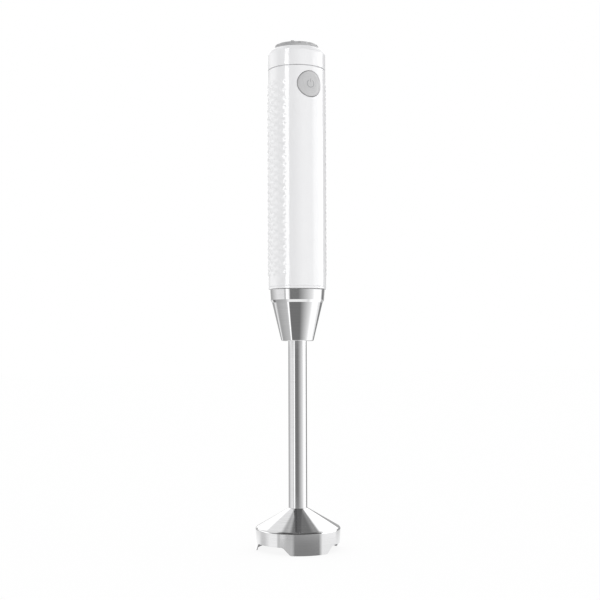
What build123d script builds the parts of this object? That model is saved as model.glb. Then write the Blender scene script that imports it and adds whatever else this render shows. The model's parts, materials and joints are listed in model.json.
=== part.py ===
from build123d import *

import math
import os

# Immersion blender with a twist-off steel foot. Millimetres, +Z up.
# The foot stands on z = 0, the power button faces -Y and every shaft lies on the Z axis.
# An azimuth is counted in degrees from the front (-Y), anticlockwise seen from above.

# Fits and running gaps
PRESS_FIT = 0.05
SHAFT_GAP = 0.08
MOVING_GAP = 0.3
SEAM_CHAMFER = 0.3

# Bell guard with three lobes and three arches
BELL_RADIUS = 32.0
BELL_RIM_HEIGHT = 16.4
BELL_CONE_RISE = 14.6
BELL_WALL = 0.9
BELL_CREASE = 1.7
LOBE_COUNT = 3
LOBE_AZIMUTH = -12.0
LOBE_FOOT_ANGLE = 52.0
LOBE_ROOT_ANGLE = 73.0
LOBE_CORNER = 1.6
ARCH_HEIGHT = 5.7
ARCH_CORNER = 3.4

# Foot tube, cone and collar
TUBE_RADIUS = 7.0
TUBE_WALL = 1.0
TUBE_SHOWN = 125.8
TUBE_BELOW_NECK = 5.0
TUBE_IN_CONE = 17.5
CONE_FOOT_RADIUS = 12.2
CONE_HEIGHT = 29.0
CONE_WALL = 1.0
CONE_EDGE = 0.8
COLLAR_HEIGHT = 10.0
COLLAR_STEP = 2.0
COLLAR_LEDGE = 1.1
COLLAR_INSET = 1.0

# Drive shaft, blade and lower bearing
SHAFT_RADIUS = 2.5
SHAFT_BELOW_BLADE = 2.4
HUB_FLANGE_RADIUS = 9.0
HUB_FLANGE_HEIGHT = 5.0
HUB_SPIGOT = 20.0
HUB_BORE_GAP = 0.7
BUSH_RADIUS = 4.4
BUSH_LENGTH = 9.0
BUSH_FLANGE = 1.6
BUSH_FLANGE_HEIGHT = 1.2
SEAL_RADIUS = 6.2
SEAL_HEIGHT = 4.0
BLADE_HEIGHT = 11.0
BLADE_THICKNESS = 1.2
BLADE_TIP_RADIUS = 23.5
BLADE_HUB_RADIUS = 7.0
BLADE_BEND_RADIUS = 8.5
BLADE_ROOT_WIDTH = 10.0
BLADE_TIP_WIDTH = 5.0
BLADE_SWEEP = 3.0
BLADE_UP_TILT = 20.0
BLADE_DOWN_TILT = 10.0
BLADE_EDGE_DEPTH = 0.8
BLADE_EDGE_WIDTH = 2.4
SPACER_RADIUS = 5.0
SPACER_TOP_RADIUS = 3.8
NUT_ACROSS_FLATS = 8.0
NUT_HEX_HEIGHT = 2.6
NUT_DOME_HEIGHT = 1.8

# Twist lock between the foot and the handle
PLUG_WALL = 4.1
PLUG_TOP_GAP = 2.0
PLUG_FLOOR = 8.0
PLUG_WAIST_WALL = 3.0
PLUG_BOSS_GAP = 1.15
LUG_COUNT = 3
LUG_DEPTH = 2.0
LUG_HEIGHT = 3.6
LUG_ANGLE = 24.0
LUG_SIDE_ANGLE = 3.0
LUG_LEVEL_GAP = 0.6
LOCK_ANGLE = 30.0
LEDGE_HEIGHT = 6.8
SOCKET_FLANGE = 1.9
SOCKET_DEPTH = 17.8
SOCKET_WALL = 1.75
SOCKET_SEAT_GAP = 0.2
GASKET_HEIGHT = 1.7
GASKET_WIDTH = 2.05

# Two-jaw coupling between the motor and the drive shaft
DOG_SIDE_GAP = 2.2
DOG_HUB_RADIUS = 6.0
DOG_HUB_HEIGHT = 4.0
DOG_PLATE = 4.0
JAW_HEIGHT = 7.4
JAW_INNER_RADIUS = 4.2
JAW_ANGLE = 44.0
JAW_END_GAP = 0.8

# Handle shell, cap, button and dial
HANDLE_RADIUS = 22.0
HANDLE_WALL = 2.2
HANDLE_LENGTH = 165.9
CAP_HEIGHT = 16.1
CAP_EDGE = 4.2
CAP_LAND = 0.4
CAP_WALL = 2.5
CAP_TOP = 2.6
CAP_SPIGOT = 4.0
CAP_SPIGOT_WALL = 1.8
SEAM_WIDTH = 0.5
SEAM_DEPTH = 1.2
BUTTON_RADIUS = 9.7
BUTTON_DROP = 13.8
BUTTON_PROUD = 0.5
BUTTON_EDGE = 0.4
BUTTON_FLANGE = 1.3
BUTTON_FLANGE_DEPTH = 1.6
BUTTON_TRAVEL = 1.5
STEM_RADIUS = 2.0
DIAL_RISE = 3.8
DIAL_RECESS = 0.8
DIAL_EDGE = 0.7
DIAL_CROWN = 0.3
DIAL_HUB_RADIUS = 5.2
DIAL_HUB_DEPTH = 6.4
DIAL_HUB_GAP = 0.75
DIAL_BASE = 1.7
DIAL_STEP = 0.4
DIAL_SCALLOPS = 12
DIAL_SCALLOP_RADIUS = 4.0
DIAL_SCALLOP_DEPTH = 0.9
POINTER_AZIMUTH = -39.5
POINTER_WIDTH = 2.2
POINTER_RISE = 0.3
POINTER_START = 6.0
INLET_RADIUS = 3.3
INLET_WALL = 2.1
INLET_EDGE = 1.5
INLET_FLANGE_DEPTH = 1.9
INLET_FLAT = 1.5
INLET_DEPTH = 5.0

# Studded grip of the handle: rows of low pyramids round all but a smooth front panel
GRIP_COLUMNS = 13
GRIP_FIRST_AZIMUTH = 56.6
GRIP_ROW_PITCH = 6.26
GRIP_FOOT = 9.9
GRIP_HEAD = 10.0
GRIP_PROUD = 0.85
GRIP_VALLEY = 0.04
GRIP_ROOT = 1.0

# Motor
MOUNT_THICKNESS = 6.0
DAMPER_THICKNESS = 1.75
MOTOR_LENGTH = 60.0
CAN_WALL = 1.5
CAN_PLATE = 2.0
BOSS_HEIGHT = 3.0
BOSS_WALL = 1.75
BEARING_RADIUS = 5.0
FRONT_BEARING_HEIGHT = 4.7
REAR_BEARING_HEIGHT = 3.5
MAGNET_THICKNESS = 3.1
MAGNET_START = 13.0
MAGNET_END_SPACE = 11.0
MAGNET_ANGLE = 136.0
AIR_GAP = 0.7
CORE_START = 18.0
CORE_END_SPACE = 16.0
CORE_SLOTS = 5
SLOT_RADIUS = 2.6
SLOT_DEPTH = 4.05
SLOT_MOUTH = 1.4
WINDING_OVERHANG = 6.0
WINDING_INSET = 1.4
WINDING_GAP = 0.15
COMMUTATOR_RADIUS = 4.6
COMMUTATOR_HEIGHT = 9.5
END_CAP_HEIGHT = 8.0
END_CAP_SPIGOT = 3.0
BRUSH_SIZE = 4.0
BRUSH_LENGTH = 7.0
BRUSH_GAP = 0.1
DAMPER_HEIGHT = 6.0
DAMPER_INSET = 4.0
SCREW_RADIUS = 1.5
SCREW_HEAD_RADIUS = 2.75
SCREW_HEAD_HEIGHT = 2.4
MOTOR_SCREW_INSET = 5.5
MOTOR_SCREW_BITE = 3.5
CARRIER_SCREW_INSET = 3.0
CARRIER_SCREW_BITE = 5.0

# Control board and its carrier
CARRIER_BASE = 4.0
CARRIER_BORE = 10.0
RAIL_GAP = 3.8
RAIL_WIDTH = 3.2
RAIL_GROOVE = 1.0
RAIL_DEPTH = 9.0
BRIDGE_THICKNESS = 2.3
BRIDGE_DEPTH = 12.0
BOARD_THICKNESS = 1.6
BOARD_BEHIND_AXIS = -2.0
BOARD_ABOVE_BASE = 2.0
BOARD_ABOVE_BUTTON = 6.6
SWITCH_WIDTH = 6.4
SWITCH_HEIGHT = 10.0
SWITCH_DEPTH = 5.2
PLUNGER_RADIUS = 1.2
PLUNGER_SHOWN = 1.8
PLUNGER_HIDDEN = 1.6
CAPACITOR_SIZE = (14.0, 8.0, 16.0)
TRIAC_SIZE = (10.0, 4.5, 13.0)
BOARD_PART_GAP = 2.1
CHOKE_RADIUS = 5.0
CHOKE_LENGTH = 9.0
CHOKE_LEVEL = 22.0
LEAD_RADIUS = 0.9
LEAD_X = 6.0
LEAD_INSET = 1.86
LEAD_RISE = 8.0
LEAD_BEND = 4.0
POT_RADIUS = 8.0
POT_HEIGHT = 6.5
POT_NECK_RADIUS = 4.6
SPINDLE_RADIUS = 3.0
SPINDLE_FLAT = 0.9
SPINDLE_SEAT = 2.0

# Levels up the axis
Z_NECK = BELL_RIM_HEIGHT + BELL_CONE_RISE
Z_SHAFT_TIP = BLADE_HEIGHT - SHAFT_BELOW_BLADE
Z_TUBE_FOOT = Z_NECK - TUBE_BELOW_NECK
Z_HUB_FOOT = Z_TUBE_FOOT - HUB_FLANGE_HEIGHT
Z_CONE = Z_NECK + TUBE_SHOWN
Z_TUBE_TOP = Z_CONE + TUBE_IN_CONE
Z_COLLAR = Z_CONE + CONE_HEIGHT
Z_COLLAR_TOP = Z_COLLAR + COLLAR_HEIGHT
Z_HANDLE = Z_COLLAR_TOP + SOCKET_SEAT_GAP
Z_SHELL = Z_HANDLE + SOCKET_FLANGE
Z_SOCKET_TOP = Z_HANDLE + SOCKET_DEPTH
Z_MOTOR = Z_SOCKET_TOP + MOUNT_THICKNESS
Z_CAN_TOP = Z_MOTOR + MOTOR_LENGTH
Z_END_CAP = Z_CAN_TOP + END_CAP_HEIGHT
Z_CARRIER = Z_END_CAP + CARRIER_BASE
Z_SEAM = Z_SHELL + HANDLE_LENGTH
Z_CAP_TOP = Z_SEAM + CAP_HEIGHT
Z_BUTTON = Z_SEAM - BUTTON_DROP
Z_BOARD_TOP = Z_BUTTON + BOARD_ABOVE_BUTTON
Z_POT = Z_BOARD_TOP + PRESS_FIT + BRIDGE_THICKNESS
Z_INLET = Z_SEAM + CAP_HEIGHT / 2
Z_DIAL = Z_CAP_TOP - DIAL_RECESS + MOVING_GAP
Z_DIAL_HUB = Z_DIAL - DIAL_HUB_DEPTH
Z_POT_NECK = Z_DIAL_HUB - DIAL_HUB_GAP
Z_PLUG_TOP = Z_SOCKET_TOP - PLUG_TOP_GAP
Z_SHOULDER = Z_HANDLE - PRESS_FIT - GASKET_HEIGHT
Z_PLUG_FLOOR = Z_TUBE_TOP + PLUG_FLOOR
Z_LEDGE = Z_HANDLE + LEDGE_HEIGHT
Z_DRIVE_DOG = Z_PLUG_FLOOR + BUSH_FLANGE_HEIGHT + MOVING_GAP
Z_DRIVE_JAW = Z_DRIVE_DOG + DOG_HUB_HEIGHT + DOG_PLATE
Z_MOTOR_PLATE = Z_DRIVE_JAW + JAW_HEIGHT + JAW_END_GAP
Z_MOTOR_HUB = Z_MOTOR_PLATE + DOG_PLATE

# Radii and widths that follow from the handle, inwards
SHELL_BORE = HANDLE_RADIUS - HANDLE_WALL
INNER_FIT_RADIUS = SHELL_BORE - PRESS_FIT
GROOVE_RADIUS = INNER_FIT_RADIUS - SOCKET_WALL
LUG_TIP_RADIUS = GROOVE_RADIUS - MOVING_GAP
PLUG_RADIUS = LUG_TIP_RADIUS - LUG_DEPTH
SOCKET_BORE = PLUG_RADIUS + MOVING_GAP
PLUG_BORE = PLUG_RADIUS - PLUG_WALL
DOG_RADIUS = PLUG_BORE - DOG_SIDE_GAP
GASKET_BORE = PLUG_RADIUS + MOVING_GAP / 2
COLLAR_BORE = GASKET_BORE + GASKET_WIDTH + MOVING_GAP
CONE_TOP_RADIUS = COLLAR_BORE + CONE_WALL
COLLAR_FOOT_RADIUS = CONE_TOP_RADIUS + COLLAR_LEDGE
COLLAR_TOP_RADIUS = HANDLE_RADIUS - COLLAR_INSET
TUBE_BORE = TUBE_RADIUS - TUBE_WALL
MOTOR_RADIUS = INNER_FIT_RADIUS - DAMPER_THICKNESS
MOTOR_SCREW_CIRCLE = MOTOR_RADIUS - MOTOR_SCREW_INSET
CARRIER_SCREW_CIRCLE = MOTOR_RADIUS - CARRIER_SCREW_INSET
CAN_BORE = MOTOR_RADIUS - CAN_WALL
MAGNET_LENGTH = MOTOR_LENGTH - MAGNET_START - MAGNET_END_SPACE
MAGNET_BORE = CAN_BORE - PRESS_FIT - MAGNET_THICKNESS
CORE_LENGTH = MOTOR_LENGTH - CORE_START - CORE_END_SPACE
CORE_RADIUS = MAGNET_BORE - AIR_GAP
SLOT_CIRCLE = CORE_RADIUS - SLOT_DEPTH
RAIL_OUTER = SHELL_BORE - RAIL_GAP
RAIL_INNER = RAIL_OUTER - RAIL_WIDTH
BOARD_WIDTH = 2 * (RAIL_INNER + RAIL_GROOVE)
BOARD_FRONT = BOARD_BEHIND_AXIS - BOARD_THICKNESS / 2
BOARD_BACK = BOARD_BEHIND_AXIS + BOARD_THICKNESS / 2
LEAD_Y = math.sqrt((CARRIER_BORE - LEAD_INSET) ** 2 - LEAD_X**2)
SWITCH_FRONT = BOARD_FRONT - SWITCH_DEPTH
STEM_END = SWITCH_FRONT - PLUNGER_SHOWN
BUTTON_FLANGE_RADIUS = BUTTON_RADIUS + BUTTON_FLANGE
BUTTON_HOLE_RADIUS = BUTTON_RADIUS + MOVING_GAP
DIAL_POCKET = HANDLE_RADIUS - CAP_EDGE - CAP_LAND
DIAL_RADIUS = DIAL_POCKET - MOVING_GAP
INLET_NECK = INLET_RADIUS + INLET_WALL
INLET_FLANGE_RADIUS = CAP_HEIGHT / 2 - INLET_EDGE


def rod(radius, low, high):
    """Upright cylinder on the axis."""
    return Pos(0, 0, (low + high) / 2) * Cylinder(radius, high - low)


def ring(outer, inner, low, high):
    """Upright tube on the axis."""
    return rod(outer, low, high) - rod(inner, low, high)


def cross_rod(radius, x, z, front, back):
    """Cylinder along Y, from y = front to y = back."""
    return Pos(x, (front + back) / 2, z) * Rot(90, 0, 0) * Cylinder(radius, back - front)


def block(x_span, y_span, z_span):
    """Box between pairs of coordinates."""
    spans = (x_span, y_span, z_span)
    centre = [(low + high) / 2 for low, high in spans]
    size = [high - low for low, high in spans]
    return Pos(*centre) * Box(*size)


def turned(points, rounds=()):
    """Solid turned about the axis from (radius, height) points; rounds pairs a corner with a radius."""
    outline = make_face(Polyline(*points, close=True))
    for corner, radius in rounds:
        vertex = outline.vertices().sort_by_distance(Vector(*points[corner]))[0]
        outline = fillet(vertex, radius)
    return revolve(Plane.XZ * outline, Axis.Z)


def sector(outer, inner, low, high, middle, width):
    """Part of a ring, width degrees wide, centred at the given azimuth."""
    strip = make_face(Polyline((inner, low), (outer, low), (outer, high), (inner, high), close=True))
    wedge = revolve(Plane.XZ * strip, Axis.Z, revolution_arc=width)
    return Rot(0, 0, middle - width / 2 - 90) * wedge


def around(count, start=0.0):
    """Azimuths of evenly spaced copies."""
    return [start + 360.0 * index / count for index in range(count)]


def screw(x, y, seat, direction, bite, head_radius=SCREW_HEAD_RADIUS):
    """Pan-head screw on a seat level; direction +1 drives it upwards, -1 downwards."""
    head = sorted((seat, seat - direction * SCREW_HEAD_HEIGHT))
    shank = sorted((seat, seat + direction * bite))
    return Pos(x, y, 0) * (rod(head_radius, *head) + rod(SCREW_RADIUS, *shank))


def bell_guard():
    """Spun steel bell: straight cone, rounded crease, upright rim cut by arches into lobes."""
    slope = BELL_CONE_RISE / (BELL_RADIUS - TUBE_RADIUS)
    neck = TUBE_RADIUS + PRESS_FIT
    drop = BELL_WALL * math.hypot(1, slope)
    inside = BELL_RADIUS - BELL_WALL

    def cone_height(radius):
        return Z_NECK - slope * (radius - TUBE_RADIUS)

    shell = turned(
        [
            (neck, cone_height(neck)),
            (BELL_RADIUS, BELL_RIM_HEIGHT),
            (BELL_RADIUS, 0),
            (inside, 0),
            (inside, cone_height(inside) - drop),
            (neck, cone_height(neck) - drop),
        ],
        rounds=[(1, BELL_CREASE), (4, BELL_CREASE - BELL_WALL)],
    )
    pitch = 360.0 / LOBE_COUNT
    top_half = BELL_RADIUS * math.sin(math.radians((pitch - LOBE_ROOT_ANGLE) / 2))
    foot_half = BELL_RADIUS * math.sin(math.radians((pitch - LOBE_FOOT_ANGLE) / 2))
    crown = [(-top_half, ARCH_HEIGHT), (top_half, ARCH_HEIGHT)]
    arch = make_face(Polyline((-foot_half, 0), *crown, (foot_half, 0), close=True))
    arch = fillet(arch.vertices().group_by(Axis.Y)[-1], ARCH_CORNER)
    punch = Pos(0, -BELL_RADIUS / 2, 0) * extrude(Plane.XZ * arch, BELL_RADIUS)
    for azimuth in around(LOBE_COUNT, LOBE_AZIMUTH + pitch / 2):
        shell -= Rot(0, 0, azimuth) * punch
    corners = [
        edge
        for edge in shell.edges()
        if edge.center().Z < BELL_WALL / 10 and edge.length < 3 * BELL_WALL
    ]
    return fillet(corners, LOBE_CORNER)


def shaft_tube():
    """Steel tube that carries the bell and encloses the drive shaft."""
    return ring(TUBE_RADIUS, TUBE_BORE, Z_TUBE_FOOT, Z_TUBE_TOP)


def bell_hub():
    """Moulded plug in the foot of the tube, bored for the lower bush and the shaft seal."""
    body = rod(HUB_FLANGE_RADIUS, Z_HUB_FOOT, Z_TUBE_FOOT)
    body += rod(TUBE_BORE - PRESS_FIT, Z_TUBE_FOOT, Z_TUBE_FOOT + HUB_SPIGOT)
    body -= rod(SHAFT_RADIUS + HUB_BORE_GAP, Z_HUB_FOOT, Z_TUBE_FOOT + HUB_SPIGOT)
    body -= rod(BUSH_RADIUS + PRESS_FIT, Z_TUBE_FOOT + HUB_SPIGOT - BUSH_LENGTH, Z_TUBE_FOOT + HUB_SPIGOT)
    return body - rod(SEAL_RADIUS + PRESS_FIT, Z_HUB_FOOT, Z_HUB_FOOT + SEAL_HEIGHT)


def shaft_seal():
    """Rubber lip seal round the drive shaft, flush with the foot of the hub."""
    lip = SHAFT_RADIUS + SHAFT_GAP
    middle = Z_HUB_FOOT + SEAL_HEIGHT / 2
    groove = (SEAL_RADIUS + lip) / 2
    return turned(
        [
            (lip, Z_HUB_FOOT),
            (groove, middle),
            (SEAL_RADIUS, Z_HUB_FOOT),
            (SEAL_RADIUS, Z_HUB_FOOT + SEAL_HEIGHT),
            (lip, Z_HUB_FOOT + SEAL_HEIGHT),
        ]
    )


def lower_bush():
    """Sintered bush at the top of the hub."""
    top = Z_TUBE_FOOT + HUB_SPIGOT
    return ring(BUSH_RADIUS, SHAFT_RADIUS + SHAFT_GAP, top - BUSH_LENGTH, top)


def foot_cone():
    """Steel cone between the tube and the collar, closed round the tube by its floor."""
    inset = CONE_WALL * math.hypot(1, (CONE_TOP_RADIUS - CONE_FOOT_RADIUS) / CONE_HEIGHT)
    floor = Z_CONE + CONE_WALL
    floor_radius = CONE_FOOT_RADIUS + (CONE_TOP_RADIUS - CONE_FOOT_RADIUS) * CONE_WALL / CONE_HEIGHT
    return turned(
        [
            (TUBE_RADIUS + PRESS_FIT, Z_CONE),
            (CONE_FOOT_RADIUS, Z_CONE),
            (CONE_TOP_RADIUS, Z_COLLAR),
            (CONE_TOP_RADIUS - inset, Z_COLLAR),
            (floor_radius - inset, floor),
            (TUBE_RADIUS + PRESS_FIT, floor),
        ],
        rounds=[(1, CONE_EDGE)],
    )


def foot_collar():
    """Steel collar on the rim of the cone, stepped out to the width of the handle."""
    return turned(
        [
            (COLLAR_BORE, Z_COLLAR),
            (CONE_TOP_RADIUS, Z_COLLAR),
            (COLLAR_FOOT_RADIUS, Z_COLLAR + COLLAR_STEP),
            (COLLAR_TOP_RADIUS, Z_COLLAR_TOP),
            (COLLAR_BORE, Z_COLLAR_TOP),
        ],
        rounds=[(2, SEAM_CHAMFER), (3, SEAM_CHAMFER)],
    )


def coupling_plug():
    """Moulded insert of the foot: tube boss, bush seat, plug and the three lock lugs."""
    boss = CONE_FOOT_RADIUS - CONE_WALL - PLUG_BOSS_GAP
    wide = COLLAR_BORE - PRESS_FIT
    waist = PLUG_BORE + PLUG_WAIST_WALL
    body = turned(
        [
            (TUBE_RADIUS + PRESS_FIT, Z_CONE + CONE_WALL),
            (boss, Z_CONE + CONE_WALL),
            (boss, Z_PLUG_FLOOR - PLUG_FLOOR),
            (waist, Z_PLUG_FLOOR),
            (waist, Z_COLLAR),
            (wide, Z_COLLAR),
            (wide, Z_SHOULDER),
            (PLUG_RADIUS, Z_SHOULDER),
            (PLUG_RADIUS, Z_PLUG_TOP),
            (PLUG_BORE, Z_PLUG_TOP),
            (PLUG_BORE, Z_PLUG_FLOOR),
            (BUSH_RADIUS + PRESS_FIT, Z_PLUG_FLOOR),
            (BUSH_RADIUS + PRESS_FIT, Z_TUBE_TOP),
            (TUBE_RADIUS + PRESS_FIT, Z_TUBE_TOP),
        ]
    )
    body = chamfer(body.edges().group_by(Axis.Z)[-1].sort_by(SortBy.RADIUS)[-1], SEAM_CHAMFER)
    low = Z_LEDGE + LUG_LEVEL_GAP
    root = PLUG_RADIUS - PLUG_WALL / 2
    for azimuth in around(LUG_COUNT):
        body += sector(LUG_TIP_RADIUS, root, low, low + LUG_HEIGHT, azimuth, LUG_ANGLE)
    return body


def upper_bush():
    """Flanged bush for the top of the drive shaft, in the floor of the plug."""
    body = rod(BUSH_RADIUS, Z_TUBE_TOP, Z_PLUG_FLOOR)
    body += rod(BUSH_RADIUS + BUSH_FLANGE, Z_PLUG_FLOOR, Z_PLUG_FLOOR + BUSH_FLANGE_HEIGHT)
    return body - rod(SHAFT_RADIUS + SHAFT_GAP, Z_TUBE_TOP, Z_PLUG_FLOOR + BUSH_FLANGE_HEIGHT)


def drive_shaft():
    """Ground steel shaft from the blade nut to the upper coupling."""
    return rod(SHAFT_RADIUS, Z_SHAFT_TIP, Z_DRIVE_JAW)


def blade_wing(tilt):
    """One wing along +X with a swept, bevelled leading edge, bent by tilt degrees at its root."""
    root = BLADE_ROOT_WIDTH / 2
    tip_back = BLADE_SWEEP
    tip_front = BLADE_SWEEP - BLADE_TIP_WIDTH
    middle = (BLADE_BEND_RADIUS + BLADE_TIP_RADIUS) / 2
    bulge = (tip_front - root) / 2 - BLADE_SWEEP / 2
    outline = make_face(
        [
            ThreePointArc((BLADE_BEND_RADIUS, -root), (middle, bulge), (BLADE_TIP_RADIUS, tip_front)),
            Line((BLADE_TIP_RADIUS, tip_front), (BLADE_TIP_RADIUS - BLADE_SWEEP / 2, tip_back)),
            Line((BLADE_TIP_RADIUS - BLADE_SWEEP / 2, tip_back), (BLADE_BEND_RADIUS, root)),
            Line((BLADE_BEND_RADIUS, root), (BLADE_BEND_RADIUS, -root)),
        ]
    )
    wing = Pos(0, 0, -BLADE_THICKNESS / 2) * extrude(outline, BLADE_THICKNESS)
    top = wing.faces().sort_by(Axis.Z)[-1]
    leading = top.edges().filter_by(GeomType.CIRCLE)
    wing = chamfer(leading, BLADE_EDGE_WIDTH, BLADE_EDGE_DEPTH, reference=top)
    hinge = Pos(BLADE_BEND_RADIUS, 0, 0)
    bent = hinge * Rot(0, -tilt, 0) * Pos(-BLADE_BEND_RADIUS, 0, 0) * wing
    bend = hinge * Rot(90, 0, 0) * Cylinder(BLADE_THICKNESS / 2, BLADE_ROOT_WIDTH)
    return bent + bend


def blade():
    """Two-wing blade, one wing bent up and one bent down."""
    plate = block(
        (-BLADE_BEND_RADIUS, BLADE_BEND_RADIUS),
        (-BLADE_ROOT_WIDTH / 2, BLADE_ROOT_WIDTH / 2),
        (-BLADE_THICKNESS / 2, BLADE_THICKNESS / 2),
    )
    body = plate + rod(BLADE_HUB_RADIUS, -BLADE_THICKNESS / 2, BLADE_THICKNESS / 2)
    body += blade_wing(BLADE_UP_TILT)
    body += Rot(0, 0, 180) * blade_wing(-BLADE_DOWN_TILT)
    body -= rod(SHAFT_RADIUS + PRESS_FIT, -BLADE_THICKNESS, BLADE_THICKNESS)
    return Pos(0, 0, BLADE_HEIGHT + BLADE_THICKNESS / 2) * body


def blade_spacer():
    """Turned sleeve that holds the blade below the seal."""
    low = BLADE_HEIGHT + BLADE_THICKNESS
    high = Z_HUB_FOOT - MOVING_GAP
    bore = SHAFT_RADIUS + PRESS_FIT
    shoulder = low + (high - low) / 2
    outside = [(SPACER_RADIUS, low), (SPACER_RADIUS, shoulder), (SPACER_TOP_RADIUS, high)]
    return turned([(bore, low), *outside, (bore, high)])


def blade_nut():
    """Domed hexagon nut on the tip of the shaft."""
    hexagon = RegularPolygon(NUT_ACROSS_FLATS / 2, 6, major_radius=False)
    hex_low = BLADE_HEIGHT - NUT_HEX_HEIGHT
    prism = Pos(0, 0, hex_low) * extrude(hexagon, NUT_HEX_HEIGHT)
    foot = NUT_ACROSS_FLATS / 2
    crown = (foot**2 + NUT_DOME_HEIGHT**2) / (2 * NUT_DOME_HEIGHT)
    dome = Pos(0, 0, hex_low - NUT_DOME_HEIGHT + crown) * Sphere(crown)
    dome &= rod(foot, hex_low - NUT_DOME_HEIGHT, hex_low)
    return prism + dome - rod(SHAFT_RADIUS + PRESS_FIT, Z_SHAFT_TIP - PRESS_FIT, BLADE_HEIGHT)


def jaws(low, azimuth):
    """Two opposite coupling jaws."""
    pair = sector(DOG_RADIUS, JAW_INNER_RADIUS, low, low + JAW_HEIGHT, azimuth, JAW_ANGLE)
    return pair + sector(DOG_RADIUS, JAW_INNER_RADIUS, low, low + JAW_HEIGHT, azimuth + 180, JAW_ANGLE)


def drive_dog():
    """Lower half of the coupling, on top of the drive shaft."""
    body = rod(DOG_HUB_RADIUS, Z_DRIVE_DOG, Z_DRIVE_DOG + DOG_HUB_HEIGHT)
    body += rod(DOG_RADIUS, Z_DRIVE_DOG + DOG_HUB_HEIGHT, Z_DRIVE_JAW)
    body += jaws(Z_DRIVE_JAW, 0)
    return body - rod(SHAFT_RADIUS + PRESS_FIT, Z_DRIVE_DOG, Z_DRIVE_JAW)


def motor_dog():
    """Upper half of the coupling, on the motor shaft."""
    body = rod(DOG_RADIUS, Z_MOTOR_PLATE, Z_MOTOR_HUB)
    body += rod(DOG_HUB_RADIUS, Z_MOTOR_HUB, Z_MOTOR_HUB + DOG_HUB_HEIGHT)
    body += jaws(Z_MOTOR_PLATE - JAW_HEIGHT, 90)
    return body - rod(SHAFT_RADIUS + PRESS_FIT, Z_MOTOR_PLATE, Z_MOTOR_HUB + DOG_HUB_HEIGHT)


def lock_gasket():
    """Flat rubber ring on the shoulder of the plug, under the handle."""
    return ring(GASKET_BORE + GASKET_WIDTH, GASKET_BORE, Z_SHOULDER, Z_HANDLE - PRESS_FIT)


def lock_socket():
    """Moulded bottom of the handle: flange, bore and the L-shaped lock slots."""
    body = turned(
        [
            (SOCKET_BORE, Z_HANDLE),
            (HANDLE_RADIUS - SEAM_CHAMFER, Z_HANDLE),
            (HANDLE_RADIUS, Z_HANDLE + SEAM_CHAMFER),
            (HANDLE_RADIUS, Z_SHELL - SEAM_CHAMFER),
            (HANDLE_RADIUS - SEAM_CHAMFER, Z_SHELL),
            (INNER_FIT_RADIUS, Z_SHELL),
            (INNER_FIT_RADIUS, Z_SOCKET_TOP),
            (SOCKET_BORE, Z_SOCKET_TOP),
        ]
    )
    inner = SOCKET_BORE - MOVING_GAP
    groove_top = Z_LEDGE + LUG_HEIGHT + 2 * LUG_LEVEL_GAP
    slot_angle = LUG_ANGLE + 2 * LUG_SIDE_ANGLE
    for azimuth in around(LUG_COUNT):
        body -= sector(GROOVE_RADIUS, inner, Z_HANDLE, groove_top, azimuth, slot_angle)
        turn = azimuth - LOCK_ANGLE / 2
        body -= sector(GROOVE_RADIUS, inner, Z_LEDGE, groove_top, turn, slot_angle + LOCK_ANGLE)
    return body


def motor_mount():
    """Moulded bulkhead between the socket and the motor, counterbored for the motor screws."""
    body = rod(INNER_FIT_RADIUS, Z_SOCKET_TOP, Z_MOTOR)
    body -= rod(BEARING_RADIUS + BOSS_WALL + 2 * PRESS_FIT, Z_SOCKET_TOP, Z_MOTOR)
    seat = Z_SOCKET_TOP + SCREW_HEAD_HEIGHT
    for side in (-1, 1):
        at = Pos(side * MOTOR_SCREW_CIRCLE, 0, 0)
        body -= at * rod(SCREW_HEAD_RADIUS + MOVING_GAP, Z_SOCKET_TOP, seat)
        body -= at * rod(SCREW_RADIUS + PRESS_FIT, seat, Z_MOTOR)
    return body


def motor_screws():
    """Two screws that hold the motor to the bulkhead."""
    seat = Z_SOCKET_TOP + SCREW_HEAD_HEIGHT
    bite = MOUNT_THICKNESS - SCREW_HEAD_HEIGHT + MOTOR_SCREW_BITE
    return [screw(side * MOTOR_SCREW_CIRCLE, 0, seat, 1, bite) for side in (-1, 1)]


def motor_can():
    """Drawn steel motor can with its bearing boss."""
    boss = BEARING_RADIUS + PRESS_FIT + BOSS_WALL
    body = rod(MOTOR_RADIUS, Z_MOTOR, Z_CAN_TOP) - rod(CAN_BORE, Z_MOTOR + CAN_PLATE, Z_CAN_TOP)
    body += rod(boss, Z_MOTOR - BOSS_HEIGHT, Z_MOTOR)
    body -= rod(BEARING_RADIUS + PRESS_FIT, Z_MOTOR - BOSS_HEIGHT, Z_MOTOR + CAN_PLATE)
    for side in (-1, 1):
        at = Pos(side * MOTOR_SCREW_CIRCLE, 0, 0)
        body -= at * rod(SCREW_RADIUS + PRESS_FIT, Z_MOTOR, Z_MOTOR + CAN_PLATE)
    return body


def bearing(low, height):
    """Plain round bearing for the motor shaft."""
    return ring(BEARING_RADIUS, SHAFT_RADIUS + SHAFT_GAP, low, low + height)


def front_bearing():
    """Bearing in the boss of the can."""
    return bearing(Z_MOTOR + CAN_PLATE - FRONT_BEARING_HEIGHT, FRONT_BEARING_HEIGHT)


def rear_bearing():
    """Bearing in the motor's end cap."""
    return bearing(Z_END_CAP - REAR_BEARING_HEIGHT, REAR_BEARING_HEIGHT)


def field_magnets():
    """Two arc magnets glued inside the can."""
    low = Z_MOTOR + MAGNET_START
    outer = CAN_BORE - PRESS_FIT
    return [
        sector(outer, MAGNET_BORE, low, low + MAGNET_LENGTH, azimuth, MAGNET_ANGLE)
        for azimuth in around(2)
    ]


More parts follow.
